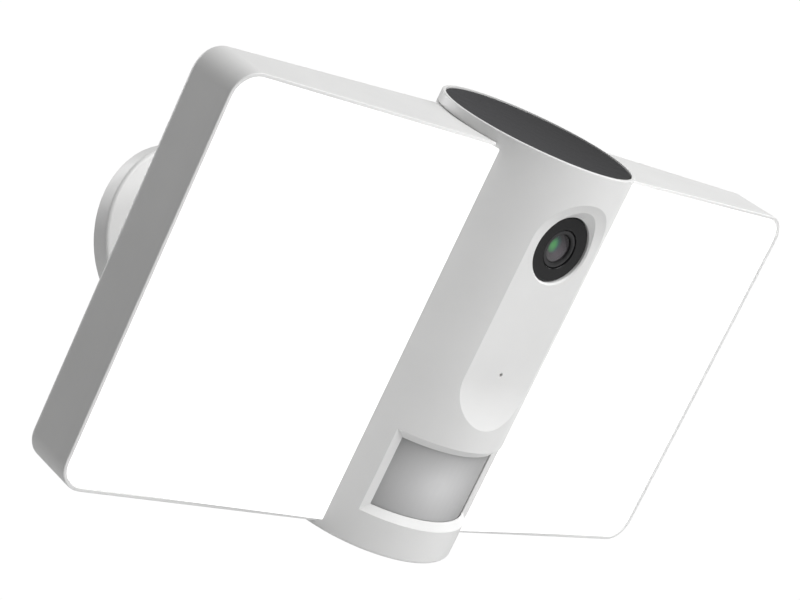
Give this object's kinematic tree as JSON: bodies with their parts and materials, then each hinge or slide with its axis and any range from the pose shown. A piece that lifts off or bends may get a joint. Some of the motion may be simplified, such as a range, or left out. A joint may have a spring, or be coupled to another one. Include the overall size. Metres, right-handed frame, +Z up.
{
  "type": "floodlight security camera",
  "caption": "Wall floodlight camera: two lit wing panels beside a round column with lens and motion window, on a tilt knuckle, swivel arm and round base.",
  "frame": {"origin": "centre of the wall plate's back face, on the wall", "axes": "+Y into the wall, -Y out towards the viewer, +Z up, +X to the right of a viewer who faces the lamp"},
  "size_m": [0.28, 0.219, 0.1655],
  "materials": {
    "white_plastic": "fine satin",
    "trim_plastic": "satin",
    "diffuser": "smooth opal",
    "cap_plastic": "satin",
    "black_plastic": "satin",
    "lens_glass": "coated",
    "frosted_lens": "frosted",
    "rubber": "matt",
    "white_metal": "powder coat",
    "steel": "zinc plated",
    "aluminium": "mill finish",
    "board": "solder mask",
    "reflective": "matt white"
  },
  "bodies": {
    "wall_base": {"wall_plate": "steel", "wall_gasket": "rubber", "base_cover": "white_plastic", "cover_screw": "steel", "terminal_block": "black_plastic", "cable_grommet": "rubber", "friction_washer": "rubber"},
    "arm": {"arm_stem": "white_metal", "swivel_collar": "white_plastic", "stem_retainer": "steel"},
    "lamp_head": {"column_front_shell": "white_plastic", "column_rear_shell": "white_plastic", "left_housing": "white_plastic", "right_housing": "white_plastic", "top_cover": "trim_plastic", "left_retaining_frame": "trim_plastic", "right_retaining_frame": "trim_plastic", "left_diffuser": "diffuser", "right_diffuser": "diffuser", "cap_disc": "cap_plastic", "lens_bezel": "black_plastic", "lens_barrel": "black_plastic", "camera_body": "black_plastic", "speaker": "black_plastic", "power_transformer": "black_plastic", "storage_capacitor": "black_plastic", "lens_glass": "lens_glass", "motion_lens": "frosted_lens", "left_gasket": "rubber", "right_gasket": "rubber", "neck_socket": "white_metal", "tilt_bolt": "steel", "tilt_nut": "steel", "tilt_washer_left": "steel", "tilt_washer_right": "steel", "neck_screw_lower": "steel", "neck_screw_upper": "steel", "motion_sensor": "steel", "microphone": "steel", "flap_pin": "steel", "card_socket": "steel", "left_wing_screw_lower": "steel", "left_wing_screw_upper": "steel", "right_wing_screw_lower": "steel", "right_wing_screw_upper": "steel", "left_heat_plate": "aluminium", "right_heat_plate": "aluminium", "sensor_board": "board", "motion_board": "board", "main_board": "board", "driver_board": "board", "wifi_antenna": "board", "service_board": "board", "left_reflector": "reflective", "right_reflector": "reflective", "left_led_board": "reflective", "right_led_board": "reflective"},
    "service_flap": {"service_flap": "rubber"},
    "reset_button": {"reset_button": "cap_plastic"}
  },
  "joints": [
    {"name": "arm_swivel", "type": "hinge", "parent": "wall_base", "child": "arm", "pos_m": [0, 0, 0], "axis": [0, 1, 0], "range_deg": [-90, 90]},
    {"name": "head_tilt", "type": "hinge", "parent": "arm", "child": "lamp_head", "pos_m": [0, -0.0956, 0], "axis": [1, 0, 0], "range_deg": [-56, 34]},
    {"name": "flap_hinge", "type": "hinge", "parent": "lamp_head", "child": "service_flap", "pos_m": [0, -0.10718, -0.0862], "axis": [1, 0, 0], "range_deg": [0, 100]},
    {"name": "reset_press", "type": "slide", "parent": "lamp_head", "child": "reset_button", "axis": [0, -0.4384, 0.8988], "range_m": [0, 0.0008], "stiffness_N_per_m": 500}
  ]
}
